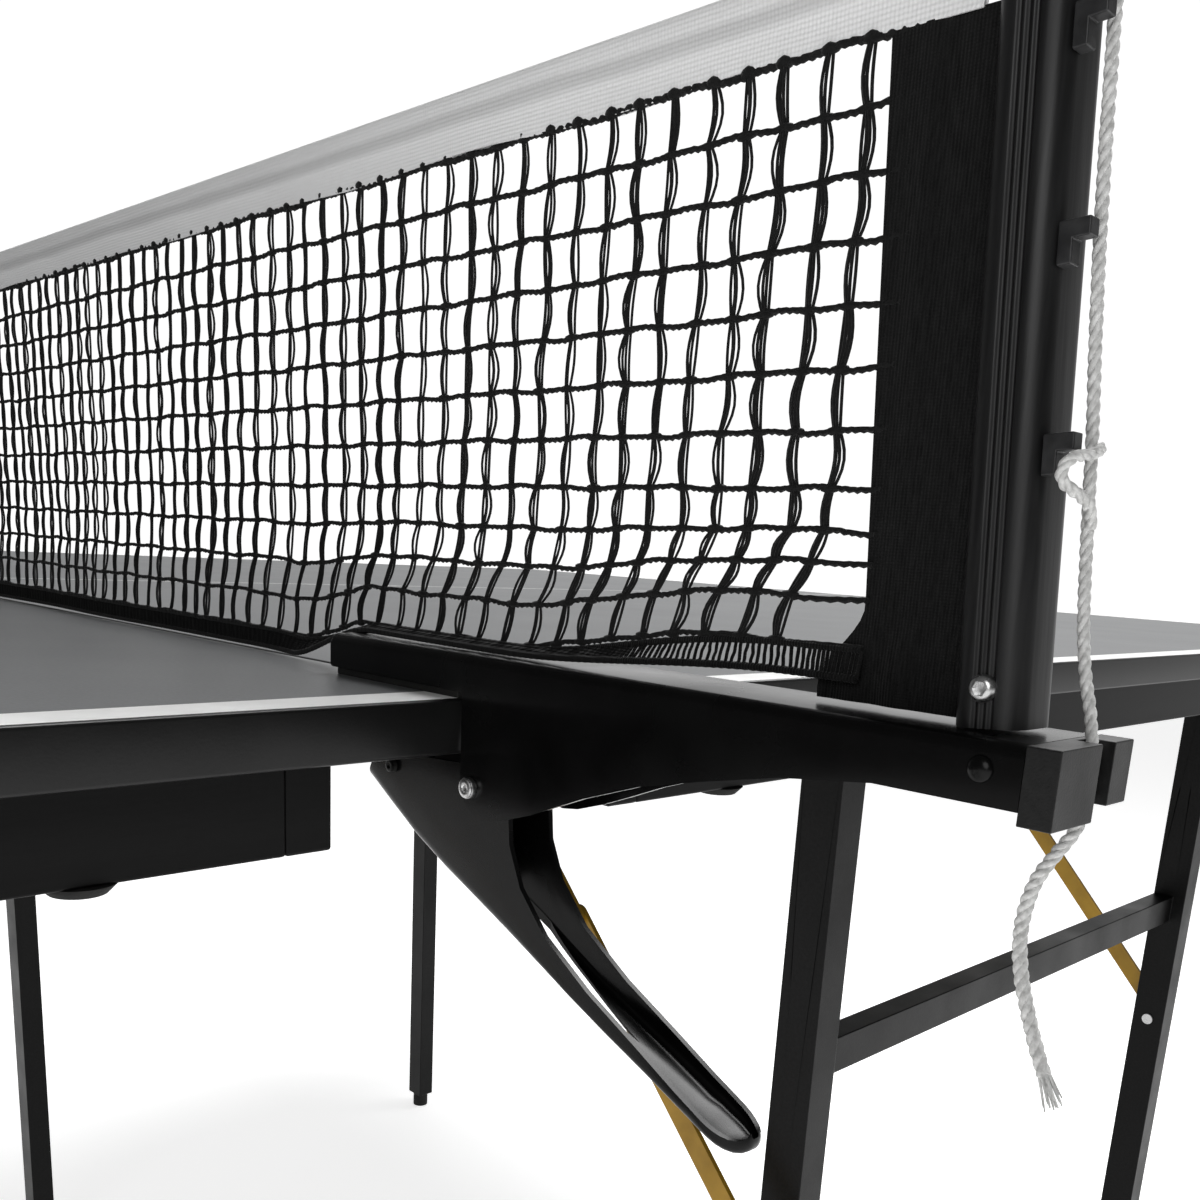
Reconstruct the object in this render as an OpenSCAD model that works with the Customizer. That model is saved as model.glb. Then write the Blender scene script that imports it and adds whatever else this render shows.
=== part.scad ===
// Mid-size table tennis table: two half tables joined at the centre, four folding leg frames
// with two-link braces, and a sprung clip-on net set.
// The origin is on the floor under the centre of the table. X runs along the length,
// Y across the width (along the net) and Z up. The near side is at -Y, the right half at +X.

/* [Table] */
// Overall length of the playing surface
table_length = 2060; // [2000:10:2100]
// Overall width of the playing surface
table_width = 1150; // [1130:10:1180]
// Height of the playing surface above the floor
table_height = 760; // [740:5:780]
// Thickness of each board
board_t = 15; // [12:1:18]
// Gap between the two half boards at the centre
seam_gap = 1; // [0.5:0.5:2]
// Radius of the boards' outer corners
corner_r = 6; // [2:1:12]

/* [Aprons] */
// Height of the strips under the boards
apron_h = 23; // [20:1:28]
// Thickness of the strips
apron_t = 13; // [10:1:15]
// Distance from the board's edge to the strips
apron_setback = 6; // [4:1:10]
// Distance from the centre line to the strips' inner end
apron_start = 50; // [45:1:60]

/* [Leg frames] */
// Distance from the board's long edge to the outer face of the legs
leg_inset = 88; // [86:1:92]
// Size of the leg tube along the table
leg_w = 22; // [20:1:25]
// Size of the leg tube across the table
leg_d = 26; // [25:1:28]
// Wall of the leg tube and of the rail
tube_wall = 1.5; // [1.2:0.1:2]
// Distance from the centre line to the first leg of the near frame
leg_start = 304; // [300:1:310]
// Distance between the two legs of a frame, centre to centre
leg_span = 534; // [530:1:538]
// Shift of the far frame against the near one, so that they nest when folded
frame_stagger = 88; // [84:1:92]
// Height of the rail's underside above the floor
rail_z = 515; // [514:1:520]
// Height of the rail tube
rail_h = 22; // [20:1:25]
// Depth of the rail tube, flush with the inner side of the legs
rail_d = 16; // [14:1:18]
// Height of the foot below the leg tube
foot_h = 18; // [16:1:28]
// Diameter of the foot
foot_d = 20; // [18:1:20]

/* [Braces] */
// Width of the brace links
link_w = 14; // [12:1:14]
// Thickness of the brace links
link_t = 3; // [2:0.5:3]
// Height of the brace's rivet in the leg above the floor
brace_rivet_z = 425; // [418:1:425]
// Distance across the table from the leg hinge to the brace's upper pivot
brace_reach = 290; // [284:1:290]
// Length of the spacer between the first leg and its brace
brace_spacer = 22.5; // [18:0.5:24]

/* [Net set] */
// Height of the net above the playing surface
net_height = 152.5; // [140:0.5:152.5]
// Height of the tape along the top of the net
tape_h = 15.5; // [12:0.5:16]
// Width of the clamp's body
clamp_w = 30; // [28:1:32]
// Width of the clamp's lever
lever_w = 16; // [14:1:18]
// Sheet thickness of the clamp's pressings
sheet = 1.5; // [1.2:0.1:1.8]
// Inward lean of the net posts in degrees
post_lean = 4; // [3:0.5:5]
// Diameter of the net's tension cord
cord_d = 3; // [2.5:0.1:3.5]

/* [Hidden] */
$fn = 48;

// Boards and aprons
half_length = table_length / 2;
half_width = table_width / 2;
under_z = table_height - board_t;
apron_z = under_z - apron_h;
apron_y = half_width - apron_setback;
apron_end = half_length - apron_setback;
plate_t = 3;

// Leg frames: everything is drawn for the right near frame and then turned to its place
leg_y = leg_inset + leg_d / 2 - half_width;
hinge_z = under_z - 4 - leg_d / 2;
first_leg_x = leg_start + leg_w / 2;
second_leg_x = first_leg_x + leg_span;
turn_x = (first_leg_x + second_leg_x - frame_stagger) / 2;
pin_r = 4;
rivet_r = 2.5;
running = 0.05;
bracket_t = 2;
bracket_gap = 0.5;

// Braces: straight when the leg stands, folded flat along the underside with the leg
leg_arm = hinge_z - brace_rivet_z;
anchor_y = leg_y + brace_reach;
brace_length = sqrt(leg_arm * leg_arm + brace_reach * brace_reach);
lower_link = (brace_length + leg_arm - brace_reach) / 2;
upper_link = (brace_length - leg_arm + brace_reach) / 2;
brace_angle = atan2(leg_arm, brace_reach);
link_gap = 0.3;
outer_face_x = second_leg_x + leg_w / 2;
inner_face_x = first_leg_x - leg_w / 2;

// Net set
clamp_top = table_height + 12;
pivot = [-half_width - 6, under_z - 8];
shoe_pin = [-half_width + 39, under_z - 10];
arm_end = -half_width - 158;
post_y = arm_end + 12.5;
post_size = [16, 14];
post_foot_z = clamp_top;
post_top = table_height + net_height - 1;
net_top = table_height + net_height;
tape_z = net_top - tape_h;
net_t = 1;
sleeve_w = 24;

// Route of the near cord: out of the tape, over the post's cap, down its outer side,
// through the slot of the cleat and down to the frayed end
cord_route = [
    [0, -696, 908.5], [0, -701, 912.9], [0, -706, 916], [0, -712, 917.4], [0, -716.5, 917],
    [0, -719.6, 915.2], [0, -721.2, 911], [0, -722.4, 905], [0, -722.9, 898], [0, -723.3, 890], [0, -724, 881],
    [0.2, -724.6, 872], [0.5, -725.3, 863], [0.8, -726, 854], [1.2, -726.8, 845], [1.8, -727.6, 836],
    [2.5, -728.4, 827], [3.2, -729, 818], [3.9, -729.6, 809], [4.5, -730.3, 800], [5, -731.2, 791],
    [5.2, -732.8, 783], [5, -734.9, 776], [4.5, -736.4, 769], [4.1, -736.8, 762], [4, -735.9, 755.5],
    [3.6, -733, 750], [3.3, -730.2, 744.5], [3, -728.8, 738], [3, -728.7, 731.5], [2.9, -730, 725],
    [2.6, -732.2, 719], [2.3, -734.8, 713], [2, -737.6, 707.5], [1.8, -740.6, 702]
];
cord_sides = 8;

// ---- Helpers ----

// Extrudes an outline drawn in Y and Z from x0 to x1
module along_x(x0, x1) {
    translate([x0, 0, 0]) rotate([90, 0, 90]) linear_extrude(x1 - x0) children();
}

// A round bar along X
module bar_x(x0, x1, y, z, r) {
    translate([x0, y, z]) rotate([0, 90, 0]) cylinder(h = x1 - x0, r = r);
}

// The same piece turned half round the table's centre, for the other half or end
module turned() {
    rotate([0, 0, 180]) children();
}

module both_ends() {
    children();
    turned() children();
}

// Puts a piece of the right near frame where the named frame is
module at_frame(name) {
    if (name == "right_near") children();
    if (name == "right_far") translate([2 * turn_x, 0, 0]) turned() children();
    if (name == "left_far") turned() children();
    if (name == "left_near") translate([-2 * turn_x, 0, 0]) children();
}

// ---- Boards and aprons ----

module half_board() {
    color([0.2, 0.21, 0.22]) translate([seam_gap / 2, -half_width, under_z])
        linear_extrude(board_t) union() {
            square([half_length - seam_gap / 2 - corner_r, table_width]);
            translate([0, corner_r]) square([half_length - seam_gap / 2, table_width - 2 * corner_r]);
            for (y = [corner_r, table_width - corner_r])
                translate([half_length - seam_gap / 2 - corner_r, y]) circle(corner_r);
        }
}

module side_apron(side) {
    color([0.05, 0.05, 0.05])
        translate([apron_start + apron_t, side > 0 ? apron_y - apron_t : -apron_y, apron_z])
        cube([apron_end - apron_start - 2 * apron_t, apron_t, apron_h]);
}

module cross_apron(x) {
    color([0.09, 0.09, 0.09]) translate([x, -apron_y, apron_z]) cube([apron_t, 2 * apron_y, apron_h]);
}

// Steel plates across the seam that hold the two halves together
plate_y = 300;
plate_size = [86, 60];
module joining_plates() {
    color([0.3, 0.3, 0.3]) for (y = [-plate_y, plate_y])
        translate([-plate_size[0] / 2, y - plate_size[1] / 2, under_z - plate_t])
            cube([plate_size[0], plate_size[1], plate_t]);
}

// Round bumpers under the side aprons
buffer_r = 9;
buffer_h = 2.6;
buffer_x = [apron_start + 61.5, apron_end - 61.5];
module buffers() {
    color([0.03, 0.03, 0.03]) both_ends()
        for (x = buffer_x, y = [-1, 1])
            translate([x, y * (apron_y - apron_t / 2 - 0.5), apron_z - buffer_h])
                cylinder(h = buffer_h, r1 = buffer_r - 2.5, r2 = buffer_r);
}

// ---- Leg brackets, pins and screws ----

bracket_flange = 14;
ear_r = 12;
module leg_bracket(x) {
    ear_x = leg_w / 2 + bracket_gap;
    plate_x = ear_x + bracket_t + bracket_flange;
    difference() {
        union() {
            translate([x - plate_x, leg_y - 20, under_z - bracket_t]) cube([2 * plate_x, 40, bracket_t]);
            for (x0 = [x - ear_x - bracket_t, x + ear_x])
                along_x(x0, x0 + bracket_t) {
                    translate([leg_y, hinge_z]) circle(ear_r);
                    translate([leg_y - ear_r, hinge_z]) square([2 * ear_r, under_z - hinge_z]);
                }
        }
        bar_x(x - plate_x, x + plate_x, leg_y, hinge_z, pin_r);
    }
}

module frame_brackets() {
    color([0.06, 0.06, 0.06]) for (x = [first_leg_x, second_leg_x]) leg_bracket(x);
}

module hinge_pins() {
    reach = leg_w / 2 + bracket_gap + bracket_t;
    color([0.7, 0.7, 0.7]) for (name = ["right_near", "right_far", "left_far", "left_near"])
        at_frame(name) for (x = [first_leg_x, second_leg_x]) {
            bar_x(x - reach, x + reach, leg_y, hinge_z, pin_r);
            bar_x(x - reach - 2, x - reach, leg_y, hinge_z, pin_r + 2);
            bar_x(x + reach, x + reach + 2, leg_y, hinge_z, pin_r + 2);
        }
}

screw_r = 3.5;
screw_h = 1.5;
module screw_head(x, y, z) {
    translate([x, y, z - screw_h]) cylinder(h = screw_h, r = screw_r);
}

module underside_screws() {
    flange_x = leg_w / 2 + bracket_gap + bracket_t + bracket_flange / 2 + 1;
    color([0.6, 0.6, 0.6]) {
        for (name = ["right_near", "right_far", "left_far", "left_near"]) at_frame(name) {
            for (x = [first_leg_x, second_leg_x], side = [-1, 1], y = [-12, 12])
                screw_head(x + side * flange_x, leg_y + y, under_z - bracket_t);
            for (y = [-9, 9]) {
                screw_head(outer_anchor_x + anchor_flange / 2 + 2, anchor_y + y, under_z - bracket_t);
                screw_head(inner_anchor_x - anchor_flange / 2 - 2, anchor_y + y, under_z - bracket_t);
            }
        }
        for (x = [-28, 28], y = [-plate_y, plate_y], dy = [-18, 18])
            screw_head(x, y + dy, under_z - plate_t);
    }
}

// ---- Leg frames ----

module leg(x) {
    outer = [leg_w, leg_d];
    cavity_top = hinge_z - leg_d;
    difference() {
        union() {
            translate([x - leg_w / 2, leg_y - leg_d / 2, foot_h]) cube([leg_w, leg_d, hinge_z - foot_h]);
            bar_x(x - leg_w / 2, x + leg_w / 2, leg_y, hinge_z, leg_d / 2);
        }
        translate([x - leg_w / 2 + tube_wall, leg_y - leg_d / 2 + tube_wall, foot_h - 1])
            cube([leg_w - 2 * tube_wall, leg_d - 2 * tube_wall, cavity_top - foot_h + 1]);
        bar_x(x - leg_w, x + leg_w, leg_y, hinge_z, pin_r + running);
        bar_x(x - leg_w, x + leg_w, leg_y, brace_rivet_z, rivet_r);
    }
}

module rail() {
    y1 = leg_y + leg_d / 2;
    x0 = first_leg_x + leg_w / 2;
    x1 = second_leg_x - leg_w / 2;
    difference() {
        translate([x0, y1 - rail_d, rail_z]) cube([x1 - x0, rail_d, rail_h]);
        translate([x0 + tube_wall, y1 - rail_d + tube_wall, rail_z + tube_wall])
            cube([x1 - x0 - 2 * tube_wall, rail_d - 2 * tube_wall, rail_h - 2 * tube_wall]);
    }
}

module leg_frame(name) {
    color([0.04, 0.04, 0.04]) at_frame(name) union() {
        leg(first_leg_x);
        leg(second_leg_x);
        rail();
    }
}

// Plastic feet: a round pad below the tube and a plug inside it
module feet(name) {
    plug = 20;
    color([0.03, 0.03, 0.03]) at_frame(name) for (x = [first_leg_x, second_leg_x]) {
        translate([x, leg_y, 0]) cylinder(h = foot_h, r = foot_d / 2);
        translate([x - leg_w / 2 + tube_wall, leg_y - leg_d / 2 + tube_wall, foot_h])
            cube([leg_w - 2 * tube_wall, leg_d - 2 * tube_wall, plug]);
    }
}

// Rivets that carry the braces on the legs
rivet_head_r = 4.5;
rivet_head_h = 1.6;
module leg_rivets(name) {
    link_out = link_gap + link_t;
    color([0.75, 0.75, 0.75]) at_frame(name) {
        bar_x(outer_face_x - leg_w, outer_face_x + link_out, leg_y, brace_rivet_z, rivet_r);
        bar_x(outer_face_x - leg_w - rivet_head_h, outer_face_x - leg_w, leg_y, brace_rivet_z, rivet_head_r);
        bar_x(outer_face_x + link_out, outer_face_x + link_out + rivet_head_h, leg_y, brace_rivet_z,
              rivet_head_r);
        bar_x(inner_face_x - brace_spacer - link_out, inner_face_x + leg_w, leg_y, brace_rivet_z, rivet_r);
        bar_x(inner_face_x - brace_spacer, inner_face_x, leg_y, brace_rivet_z, rivet_r + 2.5);
        bar_x(inner_face_x + leg_w, inner_face_x + leg_w + rivet_head_h, leg_y, brace_rivet_z, rivet_head_r);
        bar_x(inner_face_x - brace_spacer - link_out - rivet_head_h, inner_face_x - brace_spacer - link_out,
              leg_y, brace_rivet_z, rivet_head_r);
    }
}

// ---- Braces ----

// A flat link from the origin along +Y, with a hole at the origin
module link(length) {
    difference() {
        union() {
            translate([0, -link_w / 2]) square([length, link_w]);
            circle(link_w / 2);
            translate([length, 0]) circle(link_w / 2);
        }
        circle(rivet_r + running);
    }
}

lower_plane = [outer_face_x + link_gap, inner_face_x - brace_spacer - link_gap - link_t];
upper_plane = [outer_face_x + 2 * link_gap + link_t, inner_face_x - brace_spacer - 2 * (link_gap + link_t)];

module lower_links(name) {
    color([0.5, 0.37, 0.06]) at_frame(name) for (x0 = lower_plane)
        along_x(x0, x0 + link_t) translate([leg_y, brace_rivet_z]) rotate(brace_angle) link(lower_link);
}

// The upper links carry the outer head of the middle rivet
module upper_links(name) {
    knee = [anchor_y - upper_link * cos(brace_angle), hinge_z - upper_link * sin(brace_angle)];
    color([0.5, 0.37, 0.06]) at_frame(name) {
        for (x0 = upper_plane)
            along_x(x0, x0 + link_t)
                translate([anchor_y, hinge_z]) rotate(brace_angle + 180) link(upper_link);
        bar_x(upper_plane[0] + link_t, upper_plane[0] + link_t + rivet_head_h, knee[0], knee[1], rivet_head_r);
        bar_x(upper_plane[1] - rivet_head_h, upper_plane[1], knee[0], knee[1], rivet_head_r);
    }
}

// Angle brackets and pins at the upper end of the braces
anchor_flange = 18;
outer_anchor_x = upper_plane[0] + link_t + link_gap;
inner_anchor_x = upper_plane[1] - link_gap;
module brace_anchor(x, side) {
    ear_x = side > 0 ? x : x - bracket_t;
    flange_x = side > 0 ? x : x - anchor_flange;
    pin_in = link_gap + link_t;
    union() {
        along_x(ear_x, ear_x + bracket_t) {
            translate([anchor_y, hinge_z]) circle(9);
            translate([anchor_y - 9, hinge_z]) square([18, under_z - hinge_z]);
        }
        translate([flange_x, anchor_y - 15, under_z - bracket_t]) cube([anchor_flange, 30, bracket_t]);
        bar_x(side > 0 ? x - pin_in : x - bracket_t - 1.5, side > 0 ? x + bracket_t + 1.5 : x + pin_in,
              anchor_y, hinge_z, rivet_r);
    }
}

module frame_anchors() {
    color([0.06, 0.06, 0.06]) {
        brace_anchor(outer_anchor_x, 1);
        brace_anchor(inner_anchor_x, -1);
    }
}

// ---- Clamp: drawn for the near end ----

jaw_end = -half_width + 62;
boss_r = 9;
module clamp_cheek() {
    difference() {
        union() {
            polygon([
                [jaw_end, clamp_top], [jaw_end, table_height + 2], [-half_width - 1.5, table_height + 2],
                [-half_width - 1.5, pivot[1]], [pivot[0] - 9, pivot[1] - 6.5], [pivot[0] - 15, pivot[1] - 6],
                [pivot[0] - 43, pivot[1] + 5], [pivot[0] - 79, pivot[1] + 15.5],
                [pivot[0] - 122, table_height], [arm_end, table_height], [arm_end, clamp_top]
            ]);
            translate(pivot) circle(boss_r);
        }
        translate(pivot) circle(rivet_r);
    }
}

module clamp_body() {
    color([0.04, 0.04, 0.04]) {
        along_x(-clamp_w / 2, sheet - clamp_w / 2) clamp_cheek();
        along_x(clamp_w / 2 - sheet, clamp_w / 2) clamp_cheek();
        translate([-clamp_w / 2 + sheet, arm_end, clamp_top - sheet])
            cube([clamp_w - 2 * sheet, jaw_end - arm_end, sheet]);
    }
}

// Side of the lever: jaw on the inner side of the pivot, curved handle on the outer side
lever_low = [
    [shoe_pin[0] + 14, shoe_pin[1] - 6], [shoe_pin[0] - 10.4, shoe_pin[1] - 20.3],
    [pivot[0] + 21, pivot[1] - 28.7], [pivot[0] - 83, pivot[1] - 71.8], [pivot[0] - 90, pivot[1] - 71.5]
];
lever_high = [
    [pivot[0] - 91, pivot[1] - 69], [pivot[0] - 80, pivot[1] - 65], [pivot[0] - 61, pivot[1] - 55.8],
    [pivot[0] - 44, pivot[1] - 48], [pivot[0] - 30.5, pivot[1] - 41.1], [pivot[0] - 17, pivot[1] - 31],
    [pivot[0] - 11.5, pivot[1] - 23.8], [pivot[0] - 8.5, pivot[1] - 16], [pivot[0] - 7, pivot[1] - 8],
    [pivot[0] - 7, pivot[1]]
];
lever_jaw = [
    [pivot[0] + 7, pivot[1] + 4.5], [shoe_pin[0] + 9.5, shoe_pin[1] + 2.5]
];
lever_boss_r = 7.8;
module lever_side() {
    difference() {
        union() {
            polygon(concat(lever_low, lever_high, lever_jaw));
            translate(pivot) circle(lever_boss_r);
        }
        translate(pivot) circle(rivet_r + running);
        translate(shoe_pin) circle(2);
    }
}

// Floor of the lever's channel along its lower edge, turned up at the tip to close it
module lever_floor() {
    polygon([
        lever_low[1] + [-1, 1], lever_low[2], lever_low[3], lever_low[4], lever_high[0],
        lever_high[0] + [2 * sheet, 0], lever_low[3] + [0.6, sheet], lever_low[2] + [0.6, sheet],
        lever_low[1] + [-0.4, 1 + sheet]
    ]);
}

// Opening in the channel's floor, as offsets across and along from the pivot; it narrows to a point
floor_opening = [[6.5, 13], [6.5, -11], [3.3, -31], [1.9, -39], [0.7, -47], [0, -53]];
module lever_opening() {
    across = [for (p = floor_opening) [p[0], p[1] + pivot[0]]];
    back = [for (i = [len(across) - 2:-1:0]) [-across[i][0], across[i][1]]];
    translate([0, 0, pivot[1] - 60]) linear_extrude(60 - 2 * boss_r) polygon(concat(across, back));
}

module clamp_lever() {
    color([0.04, 0.04, 0.04]) union() {
        along_x(-lever_w / 2, sheet - lever_w / 2) lever_side();
        along_x(lever_w / 2 - sheet, lever_w / 2) lever_side();
        difference() {
            along_x(sheet / 2 - lever_w / 2, lever_w / 2 - sheet / 2) lever_floor();
            lever_opening();
        }
    }
}

// Rubber shoe that the lever presses against the underside, on its cross pin
shoe_gap = 0.3;
module lower_shoe() {
    half = lever_w / 2 - sheet - 0.1;
    color([0.05, 0.05, 0.05]) {
        translate([-half, shoe_pin[0] - 18, shoe_pin[1] - 3.5])
            cube([2 * half, 28, under_z - shoe_gap - shoe_pin[1] + 3.5]);
        bar_x(-lever_w / 2 - 1.2, lever_w / 2 + 1.2, shoe_pin[0], shoe_pin[1], 2);
    }
}

clamp_head_r = 2.8;
module clamp_pins() {
    color([0.75, 0.75, 0.75]) both_ends() {
        bar_x(-clamp_w / 2 - 1.5, clamp_w / 2 + 1.5, pivot[0], pivot[1], rivet_r);
        for (side = [-1, 1])
            bar_x(min(side * (lever_w / 2 + 0.3), side * (clamp_w / 2 - sheet)),
                  max(side * (lever_w / 2 + 0.3), side * (clamp_w / 2 - sheet)), pivot[0], pivot[1], 4);
        bar_x(-clamp_w / 2 - 1.5, -clamp_w / 2, pivot[0], pivot[1], clamp_head_r);
        bar_x(clamp_w / 2, clamp_w / 2 + 1.5, pivot[0], pivot[1], clamp_head_r);
    }
}

// Torsion spring on the pin, with one leg up against the body's top plate
spring_r = 5;
wire = 1.6;
module clamp_springs() {
    color([0.55, 0.55, 0.55]) both_ends() difference() {
        union() {
            bar_x(-lever_w / 2 + sheet + 0.4, lever_w / 2 - sheet - 0.4, pivot[0], pivot[1], spring_r);
            translate([-wire / 2, pivot[0] - spring_r, pivot[1]]) cube([wire, wire, clamp_top - sheet - pivot[1]]);
        }
        bar_x(-lever_w, lever_w, pivot[0], pivot[1], rivet_r + 0.3);
    }
}

// Rubber pads between the upper jaws and the playing surface
module upper_pads() {
    half = clamp_w / 2;
    pad_end = jaw_end - 3;
    color([0.05, 0.05, 0.05]) both_ends() {
        translate([-half + 0.5, -half_width + 1, table_height])
            cube([2 * half - 1, pad_end + half_width - 1, 2]);
        translate([-half + sheet, -half_width + 1, table_height + 2])
            cube([2 * (half - sheet), pad_end + half_width - 1, clamp_top - sheet - table_height - 2]);
    }
}

// ---- Posts ----

// Leans a piece that is drawn upright about the post's foot
module leaning() {
    translate([0, post_y, post_foot_z]) rotate([-post_lean, 0, 0]) children();
}

module post_outline(grow) {
    corner = 5;
    union() {
        square([post_size[0] + 2 * (grow - corner), post_size[1] + 2 * grow], center = true);
        square([post_size[0] + 2 * grow, post_size[1] + 2 * (grow - corner)], center = true);
        for (x = [-1, 1], y = [-1, 1])
            translate([x * (post_size[0] / 2 + grow - corner), y * (post_size[1] / 2 + grow - corner)])
                circle(corner);
    }
}

// Aluminium post: a rounded tube with three flutes on each long side
module post() {
    color([0.08, 0.08, 0.08]) intersection() {
        leaning() translate([0, 0, -3]) linear_extrude(post_top - post_foot_z + 3) difference() {
            post_outline(0);
            scale(0.72) post_outline(0);
            for (side = [-1, 1], y = [-3, 0, 3]) translate([side * post_size[0] / 2, y]) circle(0.6);
        }
        translate([-20, post_y - 30, post_foot_z]) cube([40, 60, 200]);
    }
}

// Cap with a groove that guides the cord over the post
module post_caps() {
    cap_h = 3.4;
    groove_w = 4.4;
    color([0.04, 0.04, 0.04]) both_ends() leaning() translate([0, 0, post_top - post_foot_z]) difference() {
        linear_extrude(cap_h) post_outline(0.5);
        translate([-groove_w / 2, -post_size[1], cap_h / 2]) cube([groove_w, 2 * post_size[1], cap_h]);
    }
}

module post_screws() {
    color([0.8, 0.8, 0.8]) both_ends()
        for (side = [-1, 1])
            bar_x(min(side * (post_size[0] / 2), side * (post_size[0] / 2 + 1.8)),
                  max(side * (post_size[0] / 2), side * (post_size[0] / 2 + 1.8)),
                  post_y + 0.55, post_foot_z + 8, 2.6);
}

// Small hooks down the outer side of the posts
hook_z = [45, 79, 112];
module cord_hooks() {
    color([0.05, 0.05, 0.05]) both_ends() leaning() for (z = hook_z) {
        translate([-6.2, -post_size[1] / 2 - 2.6, z]) cube([3.4, 2.6, 7]);
        translate([-6.2, -post_size[1] / 2 - 5.6, z + 4]) cube([3.4, 3, 3]);
    }
}

// Plastic end plug of the arm, with the slot that jams the cord
cleat_d = 6.5;
cleat_web = 1.5;
cleat_drop = 2.5;
slot_x = [1.4, 6.8];
module cord_cleats() {
    color([0.03, 0.03, 0.03]) both_ends() difference() {
        translate([-clamp_w / 2, arm_end - cleat_d, table_height - cleat_drop])
            cube([clamp_w, cleat_d, clamp_top - table_height + cleat_drop]);
        translate([slot_x[0], arm_end - 2 * cleat_d - cleat_web, table_height - cleat_drop])
            cube([slot_x[1] - slot_x[0], 2 * cleat_d, clamp_w]);
        translate([slot_x[0], arm_end - 2 * cleat_d, table_height - 2 * cleat_drop])
            cube([clamp_w, 3 * cleat_d, 2 * cleat_drop]);
    }
}

// ---- Net ----

hem_h = 7;
net_low_mid = table_height + 1;
net_low_end = clamp_top + 1;
sleeve_in = post_y + post_size[1] / 2 + sleeve_w;
lean_shift = tan(post_lean);
// Distance from the centre to the sleeve's inner edge at a height
function sleeve_y(z) = -sleeve_in - (z - post_foot_z) * lean_shift;
// Distance from the centre to the inner side of the post at a height, less a small gap
function post_side_y(z) = -(post_y + post_size[1] / 2 + 0.4) - (z - post_foot_z) * lean_shift;

rise_y = [-jaw_end - 36, -jaw_end - 6];
module net_mesh() {
    low_mid = net_low_mid + hem_h;
    low_end = net_low_end + hem_h;
    side = [[rise_y[0], low_mid], [rise_y[1], low_end], [sleeve_y(low_end), low_end], [sleeve_y(tape_z), tape_z]];
    color([0.05, 0.05, 0.05]) along_x(-net_t / 2, net_t / 2)
        polygon(concat(side, [for (i = [3:-1:0]) [-side[i][0], side[i][1]]]));
}

module net_hem() {
    low = [[rise_y[0], net_low_mid], [rise_y[1], net_low_end], [sleeve_y(net_low_end + hem_h), net_low_end]];
    edge = concat(low, [for (i = [2:-1:0]) low[i] + [0, hem_h]]);
    color([0.04, 0.04, 0.04]) along_x(-net_t, net_t)
        polygon(concat(edge, [for (i = [0:2]) [-low[i][0], low[i][1] + hem_h]], [for (i = [2:-1:0]) [-low[i][0], low[i][1]]]));
}

module net_tape() {
    end = -post_y - 21;
    color([0.85, 0.85, 0.85]) translate([-1.5, -end, tape_z]) cube([3, 2 * end, tape_h]);
}

module net_sleeves() {
    low = net_low_end;
    color([0.04, 0.04, 0.04]) both_ends() along_x(-1.5, 1.5) polygon([
        [-sleeve_y(low + hem_h), low], [-post_side_y(low), low], [-post_side_y(tape_z), tape_z],
        [-sleeve_y(tape_z), tape_z], [-sleeve_y(low + hem_h), low + hem_h]
    ]);
}

// ---- Cord ----

function unit(v) = v / norm(v);
function tangent(path, i) = unit(path[min(i + 1, len(path) - 1)] - path[max(i - 1, 0)]);
// One ring of points round the path; the path never runs along X, so X gives the ring's first axis
function ring(path, i) = let(
    t = tangent(path, i), a = unit([1, 0, 0] - t * t[0]), b = cross(t, a)
) [for (s = [0:cord_sides - 1]) path[i] + cord_d / 2 * (cos(360 * s / cord_sides) * a + sin(360 * s / cord_sides) * b)];

module cord() {
    n = len(cord_route);
    points = [for (i = [0:n - 1]) each ring(cord_route, i)];
    walls = [for (i = [0:n - 2], s = [0:cord_sides - 1]) let(
        a = i * cord_sides + s, b = i * cord_sides + (s + 1) % cord_sides
    ) each [[a, b, b + cord_sides], [a, b + cord_sides, a + cord_sides]]];
    start = [[for (s = [cord_sides - 1:-1:0]) s]];
    end = [[for (s = [0:cord_sides - 1]) (n - 1) * cord_sides + s]];
    color([0.9, 0.9, 0.9]) polyhedron(points, concat(walls, start, end));
}

half_board();  // top_right
turned() half_board();  // top_left
side_apron(-1);  // apron_right_near
side_apron(1);  // apron_right_far
cross_apron(apron_start);  // apron_right_seam
cross_apron(apron_end - apron_t);  // apron_right_end
turned() side_apron(1);  // apron_left_near
turned() side_apron(-1);  // apron_left_far
turned() cross_apron(apron_start);  // apron_left_seam
turned() cross_apron(apron_end - apron_t);  // apron_left_end
joining_plates();
union() {  // leg_brackets_right
    at_frame("right_near") frame_brackets();
    at_frame("right_far") frame_brackets();
}
union() {  // leg_brackets_left
    at_frame("left_near") frame_brackets();
    at_frame("left_far") frame_brackets();
}
union() {  // brace_anchors_right
    at_frame("right_near") frame_anchors();
    at_frame("right_far") frame_anchors();
}
union() {  // brace_anchors_left
    at_frame("left_near") frame_anchors();
    at_frame("left_far") frame_anchors();
}
hinge_pins();
underside_screws();
buffers();
leg_frame("right_near");  // leg_frame_right_near
leg_frame("right_far");  // leg_frame_right_far
leg_frame("left_near");  // leg_frame_left_near
leg_frame("left_far");  // leg_frame_left_far
feet("right_near");  // feet_right_near
feet("right_far");  // feet_right_far
feet("left_near");  // feet_left_near
feet("left_far");  // feet_left_far
leg_rivets("right_near");  // leg_rivets_right_near
leg_rivets("right_far");  // leg_rivets_right_far
leg_rivets("left_near");  // leg_rivets_left_near
leg_rivets("left_far");  // leg_rivets_left_far
lower_links("right_near");  // lower_links_right_near
lower_links("right_far");  // lower_links_right_far
lower_links("left_near");  // lower_links_left_near
lower_links("left_far");  // lower_links_left_far
upper_links("right_near");  // upper_links_right_near
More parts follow.
